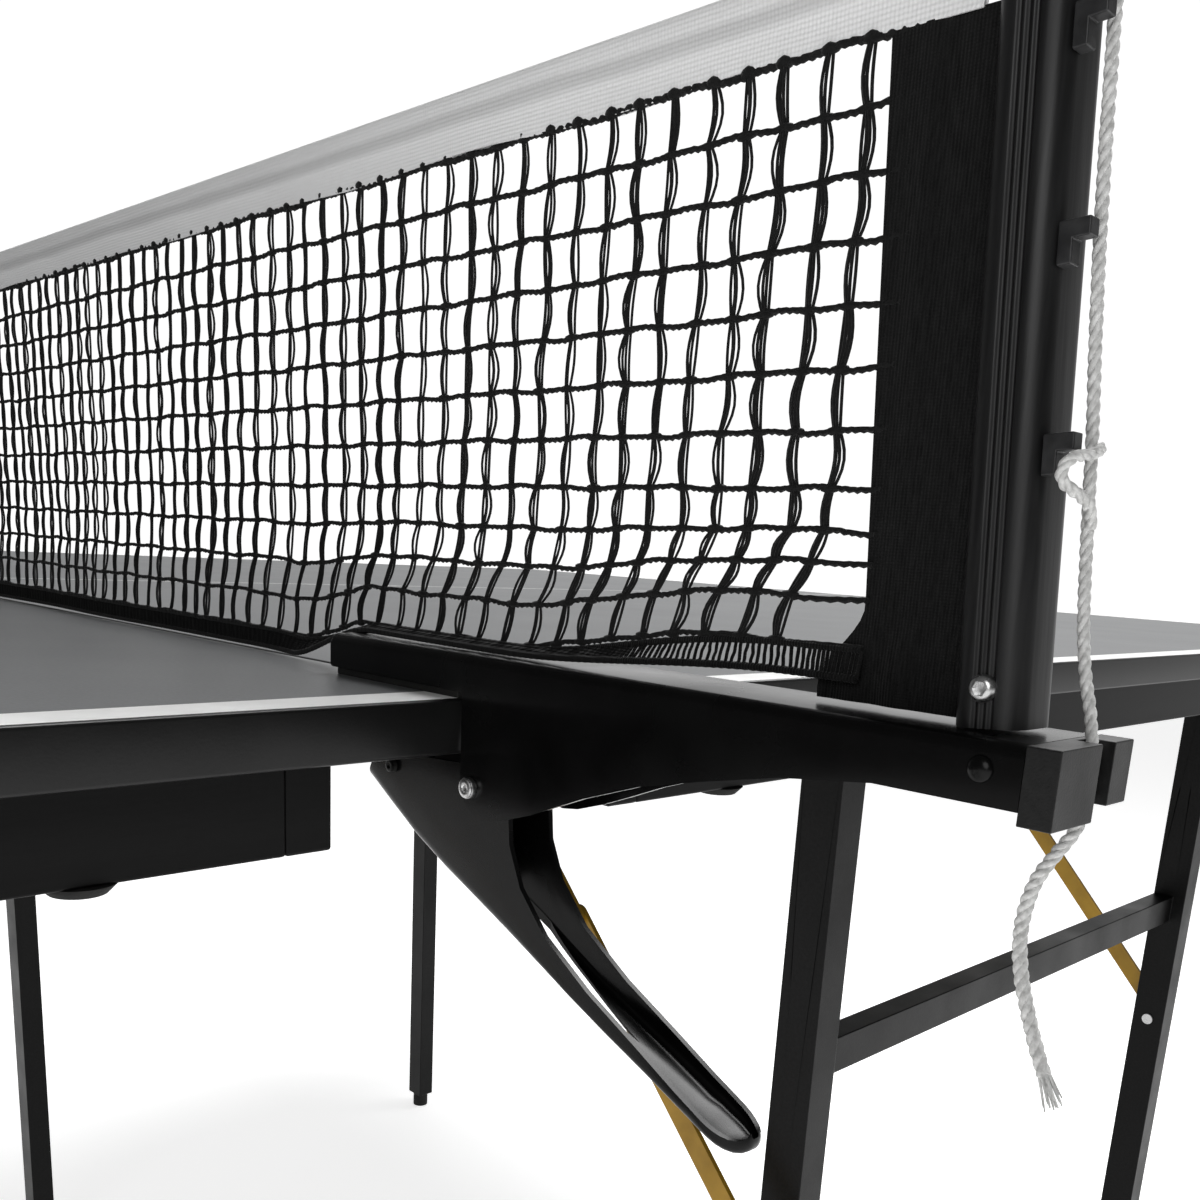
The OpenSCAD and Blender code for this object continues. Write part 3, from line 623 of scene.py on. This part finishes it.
def net_mesh():
    """Netting: knotted cords along the net and loose bundles of yarn between them."""
    b = Build()
    for row in range(ROWS + 1):
        row_cord(b, row)
    columns = int((2 * MESH_HI.y - 8 * MM) / COLUMN)
    for c in range(columns):
        local = random.Random(c)
        column_yarns(b, (c - (columns - 1) / 2) * COLUMN + local.uniform(-0.4, 0.4) * MM, local)
    return b.piece("netting", [MAT["net_yarn"]], "table", "net_black", ["net_mesh"], smooth=70)


netting = net_mesh()


TAPE_CLOTH = 0.35 * MM
TAPE_ROUND = 1.45 * MM


def tape_ring(y):
    """Section of the folded tape: one cloth that runs up one side, over the top cord and down the other."""
    wave = 0.45 * math.sin(y * 37) + 0.3 * math.sin(y * 83 + 1)
    dip = 0.5 * math.sin(y * 61 + 0.7) * MM
    round_z = TAPE_HI.z - TAPE_ROUND
    sides = []
    for t in np.linspace(0, 1, 9):
        half = (1.45 - 0.75 * ease(t * 2.2) + 0.12 * math.sin(y * 150 + 5 * t)) * MM
        sides.append((wave * 0.7 * t * MM, half, round_z - (round_z - TAPE_LO.z) * t - dip * t * t))

    def over(radius):
        return [(radius * math.cos(a), round_z + radius * math.sin(a))
                for a in np.linspace(math.pi, 0, 7)[1:-1]]

    outer = [(c - h, z) for c, h, z in reversed(sides)] + over(TAPE_ROUND) + [(c + h, z) for c, h, z in sides]
    inner = [(c + h - TAPE_CLOTH, z) for c, h, z in reversed(sides)] + over(TAPE_ROUND - TAPE_CLOTH)[::-1]
    inner += [(c - h + TAPE_CLOTH, z) for c, h, z in sides]
    return [(x, y, z) for x, z in outer + inner]


def top_tape():
    b = Build()
    b.rings([tape_ring(y) for y in np.linspace(TAPE_LO.y, TAPE_HI.y, 520)])
    return b.piece("top_tape", [MAT["tape_cloth"]], "table", "tape_white", ["net_tape"], smooth=60)


def hem_point(y, across):
    """A point of the band under the netting: across runs from 0 at the netting to 1 at the lower edge."""
    foot, tilt = foot_line(y)
    side = mirrored(y)
    return Vector((sag_x(y, 1.0) + side * (foot.x - HEM_H * across * math.sin(tilt)), y,
                   foot.z - HEM_H * across * math.cos(tilt)))


# The band's edge cords, (place across the band, thickness in mm), and how far apart its loops are
EDGE_CORDS = ((0.06, 0.75), (0.9, 0.8))
LOOP_STEP, LOOSE_STEP = 1.0, 0.75
LOOP_R = 0.5 * MM


def hem_band():
    """Edge band: two thick edge cords with close upright loops between them, looser towards the ends."""
    b = Build()
    half = HEM_HI.y
    ys = np.linspace(-half, half, 1300)
    local = random.Random(41)
    for across, r in EDGE_CORDS:
        line = [tuple(hem_point(y, across)) for y in ys]
        b.tube(line, [(r + 0.12 * (i % 2)) * MM for i in range(len(ys))], 6)
    y = -half
    while y < half:
        loose = ease((abs(y) - 0.6) / 0.05) * (1 - ease((abs(y) - 0.672) / 0.01))
        slant = local.uniform(-0.35, 0.35) * MM + 0.4 * MM * loose
        line = []
        for k in range(5):
            t = k / 4
            p = hem_point(y, 0.06 + 0.84 * t)
            p.y += slant * (0.5 - t) + 0.25 * MM * math.sin(math.pi * t) * local.uniform(-1, 1) * loose
            line.append(tuple(p))
        b.tube(line, LOOP_R, 4)
        y += (LOOP_STEP + LOOSE_STEP * loose * local.uniform(0.7, 1.2)) * MM
    return b.piece("bottom_band", [MAT["black_weave"]], "table", "band_black", ["net_hem"], smooth=70)


# Sleeve: its two sides at the height of its foot, and how the rows and columns of its cloth are counted
SLEEVE_IN, SLEEVE_OUT, SLEEVE_FOOT = -689.5 * MM, -713.1 * MM, 772.3 * MM
SLEEVE_ROWS, SLEEVE_COLS = 60, 22
SLEEVE_LEAN = math.tan(math.radians(4))


def sleeve_row(t, base, face):
    """A row of the sleeve's cloth, t from 0 at the bottom to 1 at the tape, on one of its two faces."""
    z = base + (NET_TOP - base) * t
    shift = (z - SLEEVE_FOOT) * SLEEVE_LEAN
    inner, outer = SLEEVE_IN + shift + 11 * MM * ease((0.16 - t) / 0.14), SLEEVE_OUT + shift
    gathered = ease((0.28 - t) / 0.28)
    row = []
    for u in np.linspace(0, 1, SLEEVE_COLS + 1):
        fold = 0.35 * math.sin(u * 9 + 2.2 * t) + 0.3 * math.sin(u * 17 - 3 * t + 1)
        fold += gathered * (0.7 * math.sin(u * 21 + 8 * t) + 0.5 * math.sin(34 * t + 6 * u))
        x = fold * 0.45 * MM * math.sin(math.pi * min(1, u * 1.1 + 0.05)) + face * 0.65 * MM
        row.append((max(-1.5 * MM, min(1.5 * MM, x)), inner + (outer - inner) * u, z))
    return row


def sleeve(end, turn):
    """Woven sleeve between the netting and the post, with soft upright folds, gathered at the bottom."""
    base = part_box("net_sleeves")[0].z
    b = Build()
    b.rings([sleeve_row(t, base, -1) + sleeve_row(t, base, 1)[::-1]
             for t in np.linspace(0, 1, SLEEVE_ROWS + 1)])
    return b.piece(f"sleeve_{end}", [MAT["black_weave"]], "table", "band_black",
                   ["net_sleeves"] if end == "near" else (), turn, smooth=60)


tape = top_tape()
hem = hem_band()
sleeves = [sleeve(end, turn) for end, turn in ENDS.items()]


# ---- Clamps ----

CLAMP_TOP = CLAMP_Z / MM
SHEET = 1.5
CLAMP_HALF = 15
# Lower edge of the clamp from the jaw's end to the arm's end: (y, z, how much the top is rounded off there)
CLAMP_UNDER = [
    (-513, 762.7, 0.8), (-513.5, 762.2, 0.25), (-514.2, 762, 0), (-576.3, 762, 0), (-576.6, 737, 0),
    (-578.5, 732.6, 0), (-582, 729.9, 0), (-587, 729.3, 0), (-593, 730.2, 0), (-603, 733.5, 0),
    (-612.6, 737.3, 0), (-624, 742, 0), (-642, 748.2, 0), (-660, 752.6, 0), (-681, 757.2, 0),
    (-703, 760, 0), (-733, 760, 0),
]

def channel(half, wall, floor, bend, thick, steps=5):
    """Section of a pressed channel, open downwards: (x, height), outside then inside."""
    outer = [(-half, wall)] + arc((-half + bend, floor - bend), bend, 180, 90, steps)
    outer += arc((half - bend, floor - bend), bend, 90, 0, steps) + [(half, wall)]
    r = max(0.2, bend - thick)
    inner = [(half - thick, wall)] + arc((half - bend, floor - bend), r, 0, 90, steps)
    inner += arc((-half + bend, floor - bend), r, 90, 180, steps) + [(-half + thick, wall)]
    return outer + inner


def clamp_body(end, turn):
    """Pressed channel: upper jaw, cheeks round the lever's pivot, and the arm that carries the post."""
    b = Build()
    b.rings([[(x * MM, y * MM, z * MM) for x, z in channel(CLAMP_HALF, low, CLAMP_TOP - rounded, 2.6, SHEET)]
             for y, low, rounded in CLAMP_UNDER])
    # Dome rivet on the arm beside the post
    b.revolve((-CLAMP_HALF * MM, -725 * MM, 766.5 * MM), (-1, 0, 0), dome(2.6, 1.4), 20)
    return b.piece(f"clamp_{end}", [MAT["clamp_enamel"]], "table", "clamp_paint", [f"clamp_body_{end}"], turn)


def dome(radius, height, sink=0.6):
    """Profile of a rivet head that starts inside the surface: (distance, radius) in metres."""
    rise = [(height * math.sin(a), radius * math.cos(a)) for a in np.linspace(0.15, 1.45, 7)]
    return [(-sink * MM, radius * 0.97 * MM), (0, radius * MM)] + [(h * MM, r * MM) for h, r in rise]


# Lower and upper edge of the lever's side, (y, z), from the jaw to where the spoon-like tip begins
LEVER_LOW = [(-522, 729), (-534, 721.9), (-546.4, 714.7), (-560, 708.3), (-574, 702.5), (-588, 696.7),
             (-602, 690.9), (-616, 685.1), (-630, 679.3), (-644, 673.5), (-656, 668.5)]
LEVER_HIGH = [(-526.5, 737.5), (-538, 738.7), (-552, 740), (-572, 741.2), (-588.2, 736), (-589.6, 722),
              (-594.6, 711.2), (-605, 700.4), (-622, 690), (-640, 681.3), (-653, 674.8)]
LEVER_HALF = 8.0
SPOON_LENGTH = 17.3
# Where the spoon's sides start to close, and over what length
ROUND_Y, ROUND_LENGTH = -663, 10.6


def spoon_stations():
    """Lower and upper edge of the lever, station by station, with close stations round the tip."""
    low, high = [np.array(p, float) for p in LEVER_LOW], [np.array(p, float) for p in LEVER_HIGH]
    half = [LEVER_HALF] * len(low)
    start_y, start_z = LEVER_LOW[-1]
    for k in range(1, 11):
        a = math.radians(90 * k / 10)
        y = start_y - SPOON_LENGTH * math.sin(a)
        past = max(0.0, ROUND_Y - y) / ROUND_LENGTH
        half.append(max(0.9, LEVER_HALF * math.sqrt(max(0.0, 1 - past ** 2))))
        low.append(np.array((y, start_z - 7.2 * math.sin(a) + 5.7 * (1 - math.cos(a)) ** 2)))
        high.append(np.array((y + 0.6, start_z + 5.2 - 8.1 * math.sin(a) + 3.4 * (1 - math.cos(a)) ** 2)))
    return low, high, half


def clamp_lever(end, turn):
    """Pressed channel lever with a spoon-like tip, open on its upper side and pierced in its floor."""
    b = Build()
    rings = []
    for low, high, half in zip(*spoon_stations()):
        wall = high - low
        depth = max(0.8, float(np.linalg.norm(wall)))
        up = wall / max(1e-6, np.linalg.norm(wall))
        section = lever_section(half, depth, min(4.5, half * 0.8, depth * 0.75))
        rings.append([(x * MM, (low[0] + up[0] * h) * MM, (low[1] + up[1] * h) * MM) for x, h in section])
    b.rings(rings)
    lever = b.piece(f"lever_{end}", [MAT["clamp_enamel"]], f"clamp_lever_{end}", "clamp_paint",
                    [f"clamp_lever_{end}"], turn, smooth=50)
    pierce(lever, turn)


# One side of the opening in the lever's floor, (half width, y), and the heights between which it is cut
FLOOR_OPENING = [(6.4, -568), (6.4, -592), (3.3, -612), (1.9, -620), (0.7, -628), (0.05, -634)]
CUT_HEIGHTS = (670, 711)


def pierce(lever, turn):
    """Cuts the opening out of the channel's floor."""
    b = Build()
    line = FLOOR_OPENING + [(-x, y) for x, y in reversed(FLOOR_OPENING)]
    b.rings([[(x * MM, y * MM, z * MM) for x, y in line] for z in CUT_HEIGHTS])
    mesh = bpy.data.meshes.new("cutter")
    mesh.from_pydata(b.verts, [], b.faces)
    mesh.transform(turn)
    bm = bmesh.new()
    bm.from_mesh(mesh)
    bmesh.ops.recalc_face_normals(bm, faces=bm.faces)
    bm.to_mesh(mesh)
    bm.free()
    cutter = bpy.data.objects.new("cutter", mesh)
    bpy.context.scene.collection.objects.link(cutter)
    cut = lever.modifiers.new("cut", "BOOLEAN")
    cut.operation, cut.solver, cut.object = "DIFFERENCE", "EXACT", cutter
    bpy.context.view_layer.update()
    done = bpy.data.meshes.new_from_object(lever.evaluated_get(bpy.context.evaluated_depsgraph_get()))
    lever.modifiers.clear()
    lever.data = done
    bpy.data.objects.remove(cutter)


def lever_section(half, depth, bend, steps=7):
    """U section, open upwards: outside from one rim down and up to the other, then back inside."""
    thick = min(SHEET, half * 0.35, depth * 0.4)
    outer = [(-half, depth), (-half, (depth + bend) / 2)] + arc((-half + bend, bend), bend, 180, 270, steps)
    outer += arc((half - bend, bend), bend, 270, 360, steps) + [(half, (depth + bend) / 2), (half, depth)]
    r = max(0.3, bend - thick)
    inner = [(half - thick, depth), (half - thick, (depth + bend) / 2)]
    inner += arc((half - thick - r, thick + r), r, 0, -90, steps)
    inner += arc((-half + thick + r, thick + r), r, 270, 180, steps)
    inner += [(-half + thick, (depth + bend) / 2), (-half + thick, depth)]
    return outer + inner


def dimpled(radius, height, sink=0.6):
    """Profile of a tubular rivet's rolled head, with the dimple of the tool."""
    rise = ((0, 1), (0.6, 0.97), (0.92, 0.82), (1, 0.62), (0.9, 0.45), (0.35, 0.34), (0.25, 0.05))
    return [(-sink * MM, radius * 0.97 * MM)] + [(height * h * MM, radius * r * MM) for h, r in rise]


# Middle of the rivet heads on the near end: (distance to either side, y, z)
PIVOT_HEAD = (16.4, -581, 737)
SHOE_HEAD = (9.1, -536, 735)


def rivet_heads(end, turn):
    """Rolled heads on the pivot's and the shoe's pins."""
    pivot, shoe = Build(), Build()
    for side in (-1, 1):
        mirror = np.array((side, 1, 1)) * MM
        pivot.revolve(PIVOT_HEAD * mirror, (side, 0, 0), dimpled(2.7, 0.8), 24)
        shoe.revolve(SHOE_HEAD * mirror, (side, 0, 0), dimpled(2.0, 0.6), 20)
    pivot.piece(f"pivot_heads_{end}", [MAT["bright_zinc"]], "table", "zinc", (), turn)
    shoe.piece(f"shoe_heads_{end}", [MAT["powder_black"]], f"clamp_lever_{end}", "zinc", (), turn)


# Profile of a button head, (height, radius, whether that ring is the hexagon of its socket)
BUTTON_HEAD = ((0, 2.6, False), (0.7, 2.6, False), (1.3, 2.3, False), (1.75, 1.75, False), (1.8, 1.45, True),
               (0.6, 1.4, True), (0.5, 0.1, False))


def socket_screws():
    """Button-head screws at the posts' feet, with a hexagon socket."""
    angles = np.linspace(0, 2 * math.pi, 36, endpoint=False)
    for end, turn in ENDS.items():
        b = Build()
        for side in (-1, 1):
            centre = np.array((side * 7.9, -719.95, 780))
            rings = []
            for h, r, hexagon in BUTTON_HEAD:
                ring = []
                for a in angles:
                    reach = r / math.cos(a % (math.pi / 3) - math.pi / 6) * math.cos(math.pi / 6) if hexagon else r
                    ring.append((centre + np.array((side * h, reach * math.cos(a), reach * math.sin(a)))) * MM)
                rings.append(ring)
            b.rings(rings)
        b.piece(f"post_screws_{end}", [MAT["bright_zinc"]], "table", "zinc",
                ["post_screws"] if end == "near" else (), turn)


for end, turn in ENDS.items():
    clamp_body(end, turn)
    clamp_lever(end, turn)
    rivet_heads(end, turn)
socket_screws()


# ---- Posts ----

POST_Y = -720.5
LEAN = Matrix.Rotation(math.radians(-4), 4, "X")


def lean(p):
    """A point of the upright post, in millimetres about its foot, put where the leaning post has it."""
    v = LEAN @ Vector(p)
    return v.x * MM, (v.y + POST_Y) * MM, (v.z + CLAMP_TOP) * MM


def post_outline():
    """Rounded section with three shallow flutes between ribs on each long side."""
    half_x, half_y, r = 8, 7, 4.6
    flutes, flute_depth = 3, 0.55
    flat = half_y - r
    fluted = [(half_x - flute_depth * (0.5 - 0.5 * math.cos(math.pi * flutes * (y + flat) / flat)), y)
              for y in np.linspace(-flat, flat, 25)]
    corners = arc((half_x - r, flat), r, 0, 90, 7)[1:] + arc((-half_x + r, flat), r, 90, 180, 7)[:-1]
    half_ring = fluted + corners
    return half_ring + [(-x, -y) for x, y in half_ring]


def post(end, turn):
    b = Build()
    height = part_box("post_near")[1].z / MM - CLAMP_TOP
    b.rings([[lean((x, y, z)) for x, y in post_outline()] for z in np.linspace(0.6, height - 0.8, 12)])
    b.piece(f"post_tube_{end}", [MAT["post_anodised"]], "table", "post_aluminium", [f"post_{end}"], turn,
            smooth=60)


for end, turn in ENDS.items():
    post(end, turn)


# ---- CAD nodes that keep their shape ----

KEEP = {
    "apron": "apron_laminate", "joining": "bright_zinc", "leg_brackets": "powder_black",
    "brace_anchors": "powder_black", "hinge_pins": "bright_zinc", "underside": "bright_zinc",
    "buffers": "black_rubber", "leg_frame": "powder_black", "feet": "black_rubber",
    "leg_rivets": "bright_zinc", "lower_links": "yellow_zinc", "upper_links": "yellow_zinc",
    "lower_shoe": "black_rubber", "clamp_pins": "bright_zinc", "clamp_springs": "bright_zinc",
    "upper_pads": "black_rubber", "post_caps": "black_plastic", "post_screws": "bright_zinc",
    "cord_hooks": "hook_plastic", "cord_cleats": "black_plastic",
}


EDGE_WIDTH = {"leg_frame": 1.8, "apron": 0.8, "feet": 1.0, "lower_links": 0.35, "upper_links": 0.35}
OTHER_EDGES = 0.3


def soften(obj, width):
    """Rounds a CAD node's edges as a real edge is, without touching its own mesh."""
    weld = obj.modifiers.new("weld", "WELD")
    weld.merge_threshold = 1e-6
    bevel = obj.modifiers.new("bevel", "BEVEL")
    bevel.width, bevel.segments, bevel.limit_method = width, 2, "ANGLE"
    bevel.angle_limit = math.radians(40)
    bevel.harden_normals = True


for name, obj in frame["nodes"].items():
    if obj.hide_render:
        continue
    key = next(k for k in KEEP if name.startswith(k))
    obj.data.materials.clear()
    obj.data.materials.append(MAT[KEEP[key]])
    soften(obj, EDGE_WIDTH.get(key, OTHER_EDGES) * MM)


# ---- Floor and lights ----

def floor():
    b = Build()
    size, n = 14.0, 24
    ticks = np.linspace(-size, size, n + 1)
    grid = [(x, y, 0) for y in ticks for x in ticks]
    faces = [(r * (n + 1) + c, r * (n + 1) + c + 1, (r + 1) * (n + 1) + c + 1, (r + 1) * (n + 1) + c)
             for r in range(n) for c in range(n)]
    mesh = bpy.data.meshes.new("floor")
    mesh.from_pydata(grid, [], faces)
    mesh.materials.append(MAT["floor"])
    obj = bpy.data.objects.new("floor", mesh)
    bpy.context.scene.collection.objects.link(obj)


def area_light(name, place, target, size, power):
    data = bpy.data.lights.new(name, "AREA")
    data.shape, data.size, data.energy = "DISK", size, power
    obj = bpy.data.objects.new(name, data)
    obj.location = place
    obj.rotation_euler = (Vector(target) - Vector(place)).to_track_quat("-Z", "Y").to_euler()
    bpy.context.scene.collection.objects.link(obj)


# Direction of the bright wall from the table, and how the light falls off away from it
WALL = (0.75, 0.5, -0.55)
FALL_OFF = (("From Min", 0.1), ("From Max", 0.75), ("To Min", 0.1), ("To Max", 1.15))


def world():
    """White behind the object. It is lit by a dim room with one bright wall beyond the table."""
    w = bpy.data.worlds.new("studio")
    w.use_nodes = True
    tree = w.node_tree
    seen, lit = tree.nodes["Background"], tree.nodes.new("ShaderNodeBackground")
    seen.inputs["Color"].default_value = (1, 1, 1, 1)
    seen.inputs["Strength"].default_value = 1.05
    place = tree.nodes.new("ShaderNodeTexCoord")
    facing = tree.nodes.new("ShaderNodeVectorMath")
    facing.operation = "DOT_PRODUCT"
    facing.inputs[1].default_value = WALL
    wall = tree.nodes.new("ShaderNodeMapRange")
    wall.interpolation_type = "SMOOTHSTEP"
    for socket, value in FALL_OFF:
        wall.inputs[socket].default_value = value
    tree.links.new(place.outputs["Generated"], facing.inputs[0])
    tree.links.new(facing.outputs["Value"], wall.inputs["Value"])
    tree.links.new(wall.outputs["Result"], lit.inputs["Strength"])
    mix, path = tree.nodes.new("ShaderNodeMixShader"), tree.nodes.new("ShaderNodeLightPath")
    tree.links.new(path.outputs["Is Camera Ray"], mix.inputs[0])
    tree.links.new(lit.outputs[0], mix.inputs[1])
    tree.links.new(seen.outputs[0], mix.inputs[2])
    tree.links.new(mix.outputs[0], tree.nodes["World Output"].inputs["Surface"])
    bpy.context.scene.world = w


floor()
world()
area_light("top", (1.4, -0.2, 3.0), (0, -0.3, 0.7), 1.6, 85)
area_light("side", (-3.0, -2.0, 2.2), (0, -0.4, 0.8), 2.4, 44)
bpy.context.scene.view_settings.view_transform = "Standard"

bpy.context.view_layer.update()
